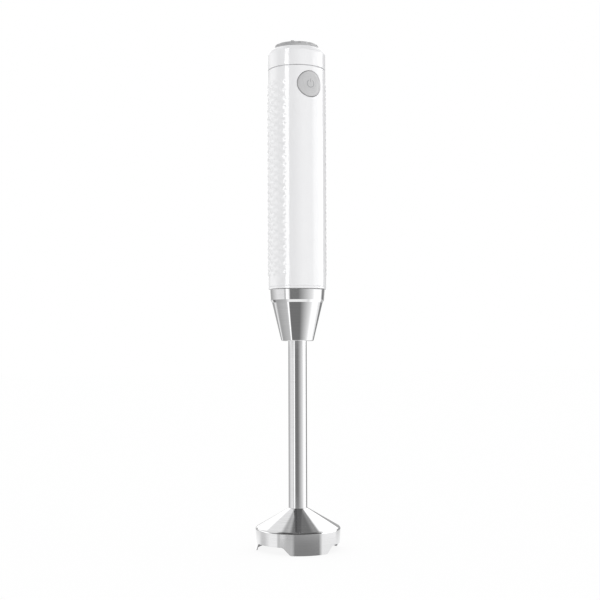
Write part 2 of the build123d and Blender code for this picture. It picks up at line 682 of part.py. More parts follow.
def core_slots(radius, mouth):
    """The armature's winding slots, as round channels with or without their mouths."""
    low = Z_MOTOR + CORE_START
    high = low + CORE_LENGTH
    channels = []
    for azimuth in around(CORE_SLOTS):
        channel = Pos(SLOT_CIRCLE, 0, 0) * rod(radius, low, high)
        if mouth:
            channel += block((SLOT_CIRCLE, CORE_RADIUS * 2), (-mouth / 2, mouth / 2), (low, high))
        channels.append(Rot(0, 0, azimuth) * channel)
    return channels


def armature_core():
    """Slotted core of the armature."""
    low = Z_MOTOR + CORE_START
    body = ring(CORE_RADIUS, SHAFT_RADIUS + PRESS_FIT, low, low + CORE_LENGTH)
    for channel in core_slots(SLOT_RADIUS, SLOT_MOUTH):
        body -= channel
    return body


def armature_winding():
    """Copper in the slots, with its round heads at both ends of the core."""
    low = Z_MOTOR + CORE_START
    high = low + CORE_LENGTH
    inner = SHAFT_RADIUS + PRESS_FIT + WINDING_INSET
    outer = CORE_RADIUS - WINDING_INSET

    def head(near, far):
        section = [(inner, near), (outer, near), (outer, far), (inner, far)]
        return turned(section, rounds=[(2, WINDING_INSET)])

    body = head(high, high + WINDING_OVERHANG) + head(low, low - WINDING_OVERHANG)
    for channel in core_slots(SLOT_RADIUS - WINDING_GAP, 0):
        body += channel
    return body


def commutator():
    """Copper commutator below the rear bearing."""
    high = Z_END_CAP - REAR_BEARING_HEIGHT - MOVING_GAP
    return ring(COMMUTATOR_RADIUS, SHAFT_RADIUS + PRESS_FIT, high - COMMUTATOR_HEIGHT, high)


def motor_shaft():
    """Motor shaft from the coupling to the rear bearing."""
    return rod(SHAFT_RADIUS, Z_MOTOR_PLATE, Z_END_CAP)


def brush_span(side, inner, length):
    """Radial extent of a brush on the +X or -X side."""
    return sorted((side * inner, side * (inner + length)))


def motor_end_cap():
    """Moulded end of the motor with the rear bearing seat and two brush tunnels."""
    body = rod(MOTOR_RADIUS - PRESS_FIT, Z_CAN_TOP, Z_END_CAP)
    body += rod(CAN_BORE - PRESS_FIT, Z_CAN_TOP - END_CAP_SPIGOT, Z_CAN_TOP)
    bearing_low = Z_END_CAP - REAR_BEARING_HEIGHT
    room = COMMUTATOR_RADIUS + 2 * AIR_GAP
    body -= rod(room, Z_CAN_TOP - END_CAP_SPIGOT, bearing_low)
    body -= rod(BEARING_RADIUS + PRESS_FIT, bearing_low, Z_END_CAP)
    half = BRUSH_SIZE / 2 + PRESS_FIT
    tunnel_z = (Z_CAN_TOP - half, Z_CAN_TOP + half)
    for side in (-1, 1):
        tunnel = brush_span(side, COMMUTATOR_RADIUS, BRUSH_LENGTH + BRUSH_GAP + PRESS_FIT)
        body -= block(tunnel, (-half, half), tunnel_z)
        at = Pos(0, side * CARRIER_SCREW_CIRCLE, 0)
        body -= at * rod(SCREW_RADIUS + PRESS_FIT, Z_END_CAP - CARRIER_SCREW_BITE, Z_END_CAP)
    return body


def carbon_brushes():
    """Two carbon brushes against the commutator."""
    half = BRUSH_SIZE / 2
    z_span = (Z_CAN_TOP - half, Z_CAN_TOP + half)
    inner = COMMUTATOR_RADIUS + BRUSH_GAP
    return [block(brush_span(side, inner, BRUSH_LENGTH), (-half, half), z_span) for side in (-1, 1)]


def motor_damper(low):
    """Rubber ring that holds the can in the shell."""
    return ring(INNER_FIT_RADIUS, MOTOR_RADIUS + PRESS_FIT, low, low + DAMPER_HEIGHT)


def board_carrier():
    """Moulded frame on the motor: base ring, two grooved rails and the bridge for the dial's control."""
    body = ring(INNER_FIT_RADIUS, CARRIER_BORE, Z_END_CAP, Z_CARRIER)
    rail_y = (BOARD_BEHIND_AXIS - RAIL_DEPTH / 2, BOARD_BEHIND_AXIS + RAIL_DEPTH / 2)
    bridge_low = Z_POT - BRIDGE_THICKNESS
    for side in (-1, 1):
        rail_x = sorted((side * RAIL_INNER, side * RAIL_OUTER))
        body += block(rail_x, rail_y, (Z_CARRIER, Z_POT))
        at = Pos(0, side * CARRIER_SCREW_CIRCLE, 0)
        body -= at * rod(SCREW_RADIUS + PRESS_FIT, Z_END_CAP, Z_CARRIER)
    body += block((-RAIL_OUTER, RAIL_OUTER), (-BRIDGE_DEPTH / 2, BRIDGE_DEPTH / 2), (bridge_low, Z_POT))
    half = BOARD_WIDTH / 2 + PRESS_FIT
    groove_y = (BOARD_FRONT - PRESS_FIT, BOARD_BACK + PRESS_FIT)
    return body - block((-half, half), groove_y, (Z_CARRIER, bridge_low))


def carrier_screws():
    """Two screws that hold the carrier to the motor's end cap."""
    bite = CARRIER_BASE + CARRIER_SCREW_BITE
    return [screw(0, side * CARRIER_SCREW_CIRCLE, Z_CARRIER, -1, bite) for side in (-1, 1)]


def control_board():
    """Bare circuit board in the grooves of the rails."""
    half = BOARD_WIDTH / 2
    return block((-half, half), (BOARD_FRONT, BOARD_BACK), (Z_CARRIER + BOARD_ABOVE_BASE, Z_BOARD_TOP))


def board_parts():
    """Suppression capacitor, choke and speed regulator on the board."""

    def standing(size, level):
        width, depth, height = size
        low = Z_CARRIER + level
        return block((-width / 2, width / 2), (BOARD_BACK, BOARD_BACK + depth), (low, low + height))

    capacitor_level = LEAD_RISE + LEAD_RADIUS + BOARD_PART_GAP
    triac_level = capacitor_level + CAPACITOR_SIZE[2] + BOARD_PART_GAP
    choke = cross_rod(CHOKE_RADIUS, 0, Z_CARRIER + CHOKE_LEVEL, BOARD_FRONT - CHOKE_LENGTH, BOARD_FRONT)
    return [standing(CAPACITOR_SIZE, capacitor_level), standing(TRIAC_SIZE, triac_level), choke]


def motor_leads():
    """Two insulated leads from the motor's end cap to the back of the board."""
    level = Z_CARRIER + LEAD_RISE
    leads = []
    for x in (-LEAD_X, LEAD_X):
        points = [(x, LEAD_Y, Z_END_CAP), (x, LEAD_Y, level), (x, BOARD_BACK, level)]
        route = FilletPolyline(*points, radius=LEAD_BEND)
        leads.append(sweep(Plane((x, LEAD_Y, Z_END_CAP)) * Circle(LEAD_RADIUS), route))
    return leads


def micro_switch():
    """Switch behind the button, with the guide hole for its plunger."""
    half_width = SWITCH_WIDTH / 2
    half_height = SWITCH_HEIGHT / 2
    z_span = (Z_BUTTON - half_height, Z_BUTTON + half_height)
    body = block((-half_width, half_width), (SWITCH_FRONT, BOARD_FRONT), z_span)
    bottom = SWITCH_FRONT + PLUNGER_HIDDEN + BUTTON_TRAVEL + MOVING_GAP
    return body - cross_rod(PLUNGER_RADIUS + SHAFT_GAP, 0, Z_BUTTON, SWITCH_FRONT, bottom)


def switch_plunger():
    """Plunger of the switch, against the button's stem."""
    return cross_rod(PLUNGER_RADIUS, 0, Z_BUTTON, STEM_END, SWITCH_FRONT + PLUNGER_HIDDEN)


def power_button():
    """Round button that follows the curve of the handle, with its retaining flange and stem."""
    flange_front = -math.sqrt(SHELL_BORE**2 - BUTTON_FLANGE_RADIUS**2) + MOVING_GAP
    flange_back = flange_front + BUTTON_FLANGE_DEPTH
    face_radius = HANDLE_RADIUS + BUTTON_PROUD
    head = cross_rod(BUTTON_RADIUS, 0, Z_BUTTON, -2 * face_radius, flange_front)
    head &= rod(face_radius, Z_BUTTON - 2 * BUTTON_RADIUS, Z_BUTTON + 2 * BUTTON_RADIUS)
    head = chamfer(head.faces().sort_by(Axis.Y)[0].edges(), BUTTON_EDGE)
    flange = cross_rod(BUTTON_FLANGE_RADIUS, 0, Z_BUTTON, flange_front, flange_back)
    return head + flange + cross_rod(STEM_RADIUS, 0, Z_BUTTON, flange_back, STEM_END)


def speed_pot():
    """Rotary control under the dial, on the bridge of the carrier."""
    body = rod(POT_RADIUS, Z_POT, Z_POT + POT_HEIGHT)
    body += rod(POT_NECK_RADIUS, Z_POT + POT_HEIGHT, Z_POT_NECK)
    return body - rod(SPINDLE_RADIUS + SHAFT_GAP, Z_POT + SPINDLE_SEAT, Z_POT_NECK)


def d_rod(radius, flat, low, high):
    """Upright rod with one flat side."""
    return rod(radius, low, high) - block((-radius, radius), (radius - flat, radius), (low, high))


def pot_spindle():
    """Spindle that the dial turns, with a flat along its upper half."""
    body = rod(SPINDLE_RADIUS, Z_POT + SPINDLE_SEAT + MOVING_GAP, Z_DIAL_HUB)
    return body + d_rod(SPINDLE_RADIUS, SPINDLE_FLAT, Z_DIAL_HUB, Z_DIAL)


def speed_dial():
    """Low round dial with a scalloped crown on its base, a raised pointer and a hub on the spindle."""
    top = Z_CAP_TOP + DIAL_RISE
    base = Z_CAP_TOP + DIAL_BASE
    crown = DIAL_RADIUS - DIAL_STEP
    body = turned([(0, base), (crown, base), (crown, top - DIAL_CROWN), (0, top)], rounds=[(2, DIAL_EDGE)])
    scallop_circle = crown + DIAL_SCALLOP_RADIUS - DIAL_SCALLOP_DEPTH
    for azimuth in around(DIAL_SCALLOPS, POINTER_AZIMUTH - 90 + 180 / DIAL_SCALLOPS):
        body -= Rot(0, 0, azimuth) * Pos(scallop_circle, 0, 0) * rod(DIAL_SCALLOP_RADIUS, base, top)
    body += rod(DIAL_RADIUS, Z_DIAL, base)
    pointer = block(
        (POINTER_START, crown - DIAL_EDGE),
        (-POINTER_WIDTH / 2, POINTER_WIDTH / 2),
        (top - DIAL_CROWN - DIAL_EDGE, top + POINTER_RISE),
    )
    body += Rot(0, 0, POINTER_AZIMUTH - 90) * pointer
    body += rod(DIAL_HUB_RADIUS, Z_DIAL_HUB, Z_DIAL)
    return body - d_rod(SPINDLE_RADIUS + PRESS_FIT, SPINDLE_FLAT, Z_DIAL_HUB, Z_DIAL + PRESS_FIT)


def top_cap():
    """White end cap with a shadow gap, the recess of the dial, a spigot and the seat of the cord inlet."""
    bore = HANDLE_RADIUS - CAP_WALL
    spigot = INNER_FIT_RADIUS - CAP_SPIGOT_WALL
    hub_hole = DIAL_HUB_RADIUS + MOVING_GAP
    shelf = Z_SEAM + CAP_SPIGOT_WALL
    body = turned(
        [
            (spigot, Z_SEAM - CAP_SPIGOT),
            (INNER_FIT_RADIUS, Z_SEAM - CAP_SPIGOT),
            (INNER_FIT_RADIUS, Z_SEAM),
            (HANDLE_RADIUS - SEAM_DEPTH, Z_SEAM),
            (HANDLE_RADIUS - SEAM_DEPTH, Z_SEAM + SEAM_WIDTH),
            (HANDLE_RADIUS, Z_SEAM + SEAM_WIDTH),
            (HANDLE_RADIUS, Z_CAP_TOP),
            (DIAL_POCKET, Z_CAP_TOP),
            (DIAL_POCKET, Z_CAP_TOP - DIAL_RECESS),
            (hub_hole, Z_CAP_TOP - DIAL_RECESS),
            (hub_hole, Z_CAP_TOP - CAP_TOP),
            (bore, Z_CAP_TOP - CAP_TOP),
            (bore, shelf),
            (spigot, shelf),
        ],
        rounds=[(6, CAP_EDGE)],
    )
    notch = BUTTON_FLANGE_RADIUS + MOVING_GAP
    body -= block((-notch, notch), (-HANDLE_RADIUS, 0), (Z_SEAM - CAP_SPIGOT, Z_SEAM))
    seat = HANDLE_RADIUS - INLET_FLAT
    body -= cross_rod(INLET_FLANGE_RADIUS + PRESS_FIT, 0, Z_INLET, seat, 2 * HANDLE_RADIUS)
    return body - cross_rod(INLET_NECK + PRESS_FIT, 0, Z_INLET, 0, 2 * HANDLE_RADIUS)


def cord_inlet():
    """Rubber bush in the back of the cap, bored for a round cord."""
    seat = HANDLE_RADIUS - INLET_FLAT
    body = cross_rod(INLET_FLANGE_RADIUS, 0, Z_INLET, seat, seat + INLET_FLANGE_DEPTH)
    body += cross_rod(INLET_NECK, 0, Z_INLET, seat - INLET_DEPTH, seat)
    return body - cross_rod(INLET_RADIUS, 0, Z_INLET, seat - INLET_DEPTH, seat + INLET_FLANGE_DEPTH)


def grip_studs():
    """Skin of low pyramids on a diamond lattice, one closed solid rooted in the wall of the handle."""
    pitch = (360.0 - 2 * GRIP_FIRST_AZIMUTH) / (GRIP_COLUMNS - 1)
    rows = int((HANDLE_LENGTH - GRIP_FOOT - GRIP_HEAD) / GRIP_ROW_PITCH) + 1
    valley = HANDLE_RADIUS / math.cos(math.radians(pitch / 4)) + GRIP_VALLEY
    root = HANDLE_RADIUS - GRIP_ROOT

    def spot(column, row, radius):
        angle = math.radians(GRIP_FIRST_AZIMUTH + column * pitch / 2 - 90)
        height = Z_SHELL + GRIP_FOOT + row * GRIP_ROW_PITCH / 2
        return Vector(radius * math.cos(angle), radius * math.sin(angle), height)

    def triangle(*corners):
        return Face(Wire.make_polygon(corners, close=True))

    faces = []
    rim = {}
    for column in range(2 * GRIP_COLUMNS - 1):
        for row in range(column % 2, 2 * rows - 1, 2):
            base = [(column - 1, row), (column, row - 1), (column + 1, row), (column, row + 1)]
            apex = spot(column, row, HANDLE_RADIUS + GRIP_PROUD)
            for first, second in zip(base, base[1:] + base[:1]):
                faces.append(triangle(spot(*first, valley), spot(*second, valley), apex))
                if rim.pop((second, first), None) is None:
                    rim[(first, second)] = True
            left, low, right, high = [spot(*corner, root) for corner in base]
            faces.append(triangle(left, right, low))
            faces.append(triangle(left, high, right))
    for first, second in rim:
        near, far = spot(*first, root), spot(*second, root)
        faces.append(triangle(spot(*first, valley), near, spot(*second, valley)))
        faces.append(triangle(spot(*second, valley), near, far))
    return Solid(Shell(faces))


def handle_shell():
    """White moulded tube of the handle with the button hole and the studded grip."""
    body = turned(
        [
            (SHELL_BORE, Z_SHELL),
            (HANDLE_RADIUS - SEAM_CHAMFER, Z_SHELL),
            (HANDLE_RADIUS, Z_SHELL + SEAM_CHAMFER),
            (HANDLE_RADIUS, Z_SEAM - SEAM_CHAMFER),
            (HANDLE_RADIUS - SEAM_CHAMFER, Z_SEAM),
            (SHELL_BORE, Z_SEAM),
        ]
    )
    body -= cross_rod(BUTTON_HOLE_RADIUS, 0, Z_BUTTON, -2 * HANDLE_RADIUS, 0)
    return body.fuse(grip_studs())


PIECES = {
    "bell_guard": bell_guard(),
    "bell_hub": bell_hub(),
    "shaft_seal": shaft_seal(),
    "lower_bush": lower_bush(),
    "shaft_tube": shaft_tube(),
    "foot_cone": foot_cone(),
    "foot_collar": foot_collar(),
    "coupling_plug": coupling_plug(),
    "upper_bush": upper_bush(),
    "drive_shaft": drive_shaft(),
    "blade": blade(),
    "blade_spacer": blade_spacer(),
    "blade_nut": blade_nut(),
    "drive_dog": drive_dog(),
    "lock_gasket": lock_gasket(),
    "handle_shell": handle_shell(),
    "top_cap": top_cap(),
    "cord_inlet": cord_inlet(),
    "lock_socket": lock_socket(),
    "motor_mount": motor_mount(),
    "motor_screws": motor_screws(),
    "motor_can": motor_can(),
    "front_bearing": front_bearing(),
    "rear_bearing": rear_bearing(),
    "field_magnets": field_magnets(),
    "motor_end_cap": motor_end_cap(),
    "carbon_brushes": carbon_brushes(),
    "lower_damper": motor_damper(Z_MOTOR + DAMPER_INSET),
    "upper_damper": motor_damper(Z_CAN_TOP - DAMPER_INSET - DAMPER_HEIGHT),
    "motor_shaft": motor_shaft(),
    "armature_core": armature_core(),
    "armature_winding": armature_winding(),
    "commutator": commutator(),
    "motor_dog": motor_dog(),
    "board_carrier": board_carrier(),
    "carrier_screws": carrier_screws(),
    "control_board": control_board(),
    "board_parts": board_parts(),
    "motor_leads": motor_leads(),
    "micro_switch": micro_switch(),
    "switch_plunger": switch_plunger(),
    "power_button": power_button(),
    "speed_pot": speed_pot(),
    "pot_spindle": pot_spindle(),
    "speed_dial": speed_dial(),
}

os.makedirs("parts", exist_ok=True)
for name, piece in PIECES.items():
    if isinstance(piece, list):
        piece = Compound(children=piece)
    export_step(piece, f"parts/{name}.step")
    print(name, round(piece.volume, 2))
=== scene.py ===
import json
import math

import bpy
from mathutils import Matrix, Vector

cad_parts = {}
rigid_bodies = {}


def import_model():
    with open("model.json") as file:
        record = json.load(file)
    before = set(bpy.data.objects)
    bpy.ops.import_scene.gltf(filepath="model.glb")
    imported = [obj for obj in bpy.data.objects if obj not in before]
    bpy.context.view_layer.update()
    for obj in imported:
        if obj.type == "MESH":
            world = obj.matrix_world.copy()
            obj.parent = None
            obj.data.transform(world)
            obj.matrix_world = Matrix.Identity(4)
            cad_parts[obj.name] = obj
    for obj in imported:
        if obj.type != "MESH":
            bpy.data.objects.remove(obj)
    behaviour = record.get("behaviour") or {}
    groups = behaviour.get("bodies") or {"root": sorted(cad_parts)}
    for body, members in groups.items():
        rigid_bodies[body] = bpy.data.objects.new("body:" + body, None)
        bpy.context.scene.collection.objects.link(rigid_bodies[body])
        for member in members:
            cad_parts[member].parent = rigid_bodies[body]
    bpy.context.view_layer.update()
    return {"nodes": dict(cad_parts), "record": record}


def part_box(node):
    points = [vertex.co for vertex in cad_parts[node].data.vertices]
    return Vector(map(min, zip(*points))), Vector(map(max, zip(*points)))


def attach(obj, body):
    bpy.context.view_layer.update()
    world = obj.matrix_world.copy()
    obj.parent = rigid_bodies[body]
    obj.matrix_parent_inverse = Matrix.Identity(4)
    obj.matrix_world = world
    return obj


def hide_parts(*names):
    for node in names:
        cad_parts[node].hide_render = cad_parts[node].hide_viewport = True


for leftover in list(bpy.data.objects):
    bpy.data.objects.remove(leftover)

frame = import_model()
nodes = frame["nodes"]
scene = bpy.context.scene
scene.view_settings.view_transform = "Standard"

MM = 0.001

# The photograph's camera: level with the foot's tube, a little to the left of the power button
PICTURE = 600
FOCAL_PIXELS = 1130
SENSOR = 36.0
EYE_AZIMUTH = math.radians(-28)
EYE_DISTANCE = 861 * MM
EYE_HEIGHT = 149.6 * MM
HORIZON_PIXEL = 350.4
AXIS_PIXEL = 297.3
LEAN = math.radians(-0.19)

# Handle, bell and button, as large as the solids
HANDLE_RADIUS = 22.0 * MM
HANDLE_WALL = 2.2 * MM
BELL_RADIUS = 32.0 * MM
BELL_WALL = 0.9 * MM
BELL_RIM_HEIGHT = 16.4 * MM
BELL_CONE_RISE = 14.6 * MM
TUBE_RADIUS = 7.0 * MM
BELL_SLOPE = BELL_CONE_RISE / (BELL_RADIUS - TUBE_RADIUS)
BELL_TIP = BELL_RIM_HEIGHT + BELL_SLOPE * BELL_RADIUS
BUTTON_RADIUS = 9.7 * MM
BUTTON_PROUD = 0.5 * MM
BUTTON_GAP = 0.3 * MM

# Edges of the handle's tube, and how finely it is divided in a square patch round the hole and elsewhere
HANDLE_CHAMFER = 0.3 * MM
HOLE_EDGE = 0.25 * MM
PATCH_REACH = 1.25
PATCH_SIDES = 16
PATCH_RINGS = (0.6, 0.3, 0.1, 0.0)
TUBE_COLUMNS = 56

# Studs of the grip, on the lattice of the solid, but lower and rounder
GRIP_COLUMNS = 13
GRIP_FIRST_AZIMUTH = math.radians(56.6)
GRIP_ROWS = 24
GRIP_ROW_PITCH = 6.26 * MM
GRIP_FOOT = 9.9 * MM
GRIP_PROUD = 0.55 * MM
GRIP_SUNK = 0.03 * MM
GRIP_SQUARE = 4.0
STUD_STEPS = 6

# Power sign on the button
MARK_RADIUS = 2.8 * MM
MARK_LINE = 0.5 * MM
MARK_GAP = math.radians(64)
MARK_BAR = (1.1 * MM, 3.7 * MM)
MARK_PROUD = 0.05 * MM
MARK_STEPS = 40


def link(piece):
    scene.collection.objects.link(piece)
    return piece


def direction(azimuth):
    """Level unit vector at an azimuth counted from the front, -Y."""
    return Vector((math.sin(azimuth), -math.cos(azimuth), 0))


# Nodes that the materials and the studio share


def feed(tree, value, socket):
    """Set a number on a socket, or link an output to it."""
    if isinstance(value, (int, float)):
        socket.default_value = value
    else:
        tree.links.new(value, socket)


def math_node(tree, operation, first, second=None):
    """Math node on outputs or plain numbers."""
    node = tree.nodes.new("ShaderNodeMath")
    node.operation = operation
    feed(tree, first, node.inputs[0])
    if second is not None:
        feed(tree, second, node.inputs[1])
    return node.outputs[0]


def ranged(tree, value, start, end, low=0.0, high=1.0):
    """Value that goes from low to high while another goes from start to end."""
    node = tree.nodes.new("ShaderNodeMapRange")
    node.inputs["From Min"].default_value = start
    node.inputs["From Max"].default_value = end
    node.inputs["To Min"].default_value = low
    node.inputs["To Max"].default_value = high
    tree.links.new(value, node.inputs["Value"])
    return node.outputs["Result"]


def noise_node(tree, vector, scale, detail=2.0):
    node = tree.nodes.new("ShaderNodeTexNoise")
    node.inputs["Detail"].default_value = detail
    tree.links.new(vector, node.inputs["Vector"])
    feed(tree, scale, node.inputs["Scale"])
    return node.outputs["Fac"]


def round_axis(tree, place):
    """Coordinates of a place, and its distance from the Z axis."""
    split = tree.nodes.new("ShaderNodeSeparateXYZ")
    tree.links.new(place, split.inputs[0])
    x, y, z = split.outputs
    squares = math_node(tree, "ADD", math_node(tree, "MULTIPLY", x, x), math_node(tree, "MULTIPLY", y, y))
    return x, y, z, math_node(tree, "SQRT", squares)


# Materials


def bare_material(name):
    """Node material with only its output; returns the material, its tree and the output's surface."""
    material = bpy.data.materials.new(name)
    material.use_nodes = True
    tree = material.node_tree
    tree.nodes.clear()
    return material, tree, tree.nodes.new("ShaderNodeOutputMaterial").inputs["Surface"]


def new_material(name):
    """Material with a plain shader; returns the material, its tree and the shader."""
    material, tree, surface = bare_material(name)
    shader = tree.nodes.new("ShaderNodeBsdfPrincipled")
    tree.links.new(shader.outputs["BSDF"], surface)
    return material, tree, shader


def new_group(name, inputs, outputs):
    """Shader node group with a place on the surface, float inputs and float outputs."""
    tree = bpy.data.node_groups.new(name, "ShaderNodeTree")
    tree.interface.new_socket("Place", in_out="INPUT", socket_type="NodeSocketVector")
    for label, value in inputs.items():
        socket = tree.interface.new_socket(label, in_out="INPUT", socket_type="NodeSocketFloat")
        socket.default_value = value
    for label in outputs:
        tree.interface.new_socket(label, in_out="OUTPUT", socket_type="NodeSocketFloat")
    return tree, tree.nodes.new("NodeGroupInput"), tree.nodes.new("NodeGroupOutput")


def turned_rings_group():
    """Fine rings round the Z axis, as turning and brushing leave them, and a slow cloudiness beside them."""
    inputs = {"Rings": 4000.0, "Clouds": 60.0, "Along Axis": 1.0}
    tree, given, out = new_group("turned_rings", inputs, ("Rings", "Clouds"))
    place = given.outputs["Place"]
    x, y, z, radius = round_axis(tree, place)
    depth = math_node(tree, "MULTIPLY", z, given.outputs["Along Axis"])
    along = math_node(tree, "MULTIPLY", math_node(tree, "ADD", depth, radius), given.outputs["Rings"])
    off_axis = math_node(tree, "MAXIMUM", radius, 0.01 * MM)
    vector = tree.nodes.new("ShaderNodeCombineXYZ")
    tree.links.new(math_node(tree, "DIVIDE", x, off_axis), vector.inputs[0])
    tree.links.new(math_node(tree, "DIVIDE", y, off_axis), vector.inputs[1])
    tree.links.new(along, vector.inputs[2])
    tree.links.new(noise_node(tree, vector.outputs[0], 1.0, 3.0), out.inputs["Rings"])
    tree.links.new(noise_node(tree, place, given.outputs["Clouds"]), out.inputs["Clouds"])
    return tree


def moulded_skin_group():
    """Faint unevenness of a moulded surface: a fine grain and a slow cloudiness."""
    tree, given, out = new_group("moulded_skin", {"Grain": 2500.0, "Clouds": 45.0}, ("Grain", "Clouds"))
    place = given.outputs["Place"]
    tree.links.new(noise_node(tree, place, given.outputs["Grain"], 4.0), out.inputs["Grain"])
    tree.links.new(noise_node(tree, place, given.outputs["Clouds"]), out.inputs["Clouds"])
    return tree


TURNED_RINGS = turned_rings_group()
MOULDED_SKIN = moulded_skin_group()

# Parts of a noise's reach that make the roughness and the colour vary, and how far the roughness varies
CLOUD_REACH = (0.25, 0.75)
TINT_REACH = (0.3, 0.7)
TURNED_CLOUDING = 0.2
MOULDED_CLOUDING = 0.15


def place_group(tree, group, values, centre=None):
    """The group on the piece's own coordinates, or round an axis along Y through a centre."""
    node = tree.nodes.new("ShaderNodeGroup")
    node.node_tree = group
    for label, value in values.items():
        node.inputs[label].default_value = value
    place = tree.nodes.new("ShaderNodeTexCoord").outputs["Object"]
    if centre is not None:
        mapping = tree.nodes.new("ShaderNodeMapping")
        mapping.inputs["Rotation"].default_value = (math.pi / 2, 0, 0)
        mapping.inputs["Location"].default_value = (-centre[0], centre[2], -centre[1])
        tree.links.new(place, mapping.inputs["Vector"])
        place = mapping.outputs["Vector"]
    tree.links.new(place, node.inputs["Place"])
    return node.outputs


def clouded(tree, clouds, roughness, share):
    """Roughness that the clouds raise and lower by a share."""
    return ranged(tree, clouds, *CLOUD_REACH, roughness * (1 - share), roughness * (1 + share))


def tint(tree, value, colour, contrast):
    """Colour that a noise makes darker and lighter."""
    node = tree.nodes.new("ShaderNodeValToRGB")
    for element, position, factor in zip(node.color_ramp.elements, TINT_REACH, (1 - contrast, 1 + contrast)):
        element.position = position
        element.color = (*(min(channel * factor, 1.0) for channel in colour), 1)
    tree.links.new(value, node.inputs["Fac"])
    return node.outputs["Color"]


def bump(tree, shader, height, distance):
    node = tree.nodes.new("ShaderNodeBump")
    node.inputs["Distance"].default_value = distance
    tree.links.new(height, node.inputs["Height"])
    tree.links.new(node.outputs["Normal"], shader.inputs["Normal"])


def turned_metal(name, colour, roughness, rings, depth, contrast=0.06, metallic=1.0, centre=None):
    """Metal or silver paint with rings round the axis, or round a centre on the front."""
    material, tree, shader = new_material(name)
    values = {"Rings": rings}
    if centre is not None:
        values["Along Axis"] = 0.0
    pattern = place_group(tree, TURNED_RINGS, values, centre)
    shader.inputs["Metallic"].default_value = metallic
    tree.links.new(tint(tree, pattern["Rings"], colour, contrast), shader.inputs["Base Color"])
    dull = clouded(tree, pattern["Clouds"], roughness, TURNED_CLOUDING)
    tree.links.new(dull, shader.inputs["Roughness"])
    bump(tree, shader, pattern["Rings"], depth)
    return material


def moulded(name, colour, roughness, depth, grain=2500.0, contrast=0.02):
    """Plastic or rubber from a mould."""
    material, tree, shader = new_material(name)
    pattern = place_group(tree, MOULDED_SKIN, {"Grain": grain})
    tree.links.new(tint(tree, pattern["Clouds"], colour, contrast), shader.inputs["Base Color"])
    dull = clouded(tree, pattern["Clouds"], roughness, MOULDED_CLOUDING)
    tree.links.new(dull, shader.inputs["Roughness"])
    bump(tree, shader, pattern["Grain"], depth)
    return material


def bell_steel(name, colour, painted_shade_colour, roughness, inside_roughness, rings, depth, contrast=0.06,
               painted_shade_contrast=0.1):
    """Polished steel, duller inside the bell, below its cone and within its rim, where painted shade darkens
    its colour.
    """
    material, tree, shader = new_material(name)
    pattern = place_group(tree, TURNED_RINGS, {"Rings": rings})
    z, radius = round_axis(tree, tree.nodes.new("ShaderNodeTexCoord").outputs["Object"])[2:]
    within = math_node(tree, "LESS_THAN", radius, BELL_RADIUS - BELL_WALL / 2)
    fall = math_node(tree, "MULTIPLY", radius, BELL_SLOPE)
    below = math_node(tree, "LESS_THAN", z, math_node(tree, "SUBTRACT", BELL_TIP - BELL_WALL / 2, fall))
    inside = math_node(tree, "MULTIPLY", within, below)
    shader.inputs["Metallic"].default_value = 1.0
    # Painted shade: inside the bell the steel takes a much darker colour than outside
    blend = tree.nodes.new("ShaderNodeMix")
    blend.data_type = "RGBA"
    tree.links.new(inside, blend.inputs["Factor"])
    tree.links.new(tint(tree, pattern["Rings"], colour, contrast), blend.inputs[6])
    tree.links.new(tint(tree, pattern["Clouds"], painted_shade_colour, painted_shade_contrast), blend.inputs[7])
    tree.links.new(blend.outputs[2], shader.inputs["Base Color"])
    polished = clouded(tree, pattern["Clouds"], roughness, TURNED_CLOUDING)
    dull = math_node(tree, "MULTIPLY", inside, inside_roughness)
    tree.links.new(math_node(tree, "MAXIMUM", polished, dull), shader.inputs["Roughness"])
    bump(tree, shader, pattern["Rings"], depth)
    return material


FINISHES = {
    "white_plastic": moulded("white_plastic", (0.82, 0.82, 0.83), 0.10, 0.4e-6, grain=900.0, contrast=0.006),
    "silver": turned_metal("silver", (0.44, 0.44, 0.445), 0.48, 2600.0, 3e-6, metallic=0.1),
    "steel": turned_metal("steel", (0.64, 0.64, 0.645), 0.07, 5200.0, 0.5e-6),
    "blade_steel": turned_metal("blade_steel", (0.66, 0.66, 0.67), 0.22, 3000.0, 2e-6),
    "shaft_steel": turned_metal("shaft_steel", (0.55, 0.55, 0.56), 0.25, 6000.0, 2e-6),
    "bronze": turned_metal("bronze", (0.55, 0.36, 0.18), 0.42, 3000.0, 3e-6),
    "black_rubber": moulded("black_rubber", (0.03, 0.03, 0.03), 0.62, 6e-6),
    "black_plastic": moulded("black_plastic", (0.05, 0.05, 0.055), 0.45, 4e-6),
    "grey_plastic": moulded("grey_plastic", (0.35, 0.36, 0.37), 0.42, 4e-6),
    "zinc_steel": turned_metal("zinc_steel", (0.50, 0.51, 0.52), 0.34, 2500.0, 3e-6),
    "ferrite": moulded("ferrite", (0.08, 0.08, 0.085), 0.55, 8e-6),
    "iron": turned_metal("iron", (0.30, 0.30, 0.31), 0.45, 2000.0, 20e-6, contrast=0.2),
    "copper": turned_metal("copper", (0.72, 0.33, 0.16), 0.33, 1500.0, 40e-6, contrast=0.2),
    "carbon": moulded("carbon", (0.03, 0.03, 0.032), 0.7, 8e-6),
    "board": moulded("board", (0.05, 0.22, 0.10), 0.4, 5e-6, contrast=0.1),
    "mark": moulded("mark", (0.30, 0.30, 0.31), 0.45, 2e-6, contrast=0.05),
}

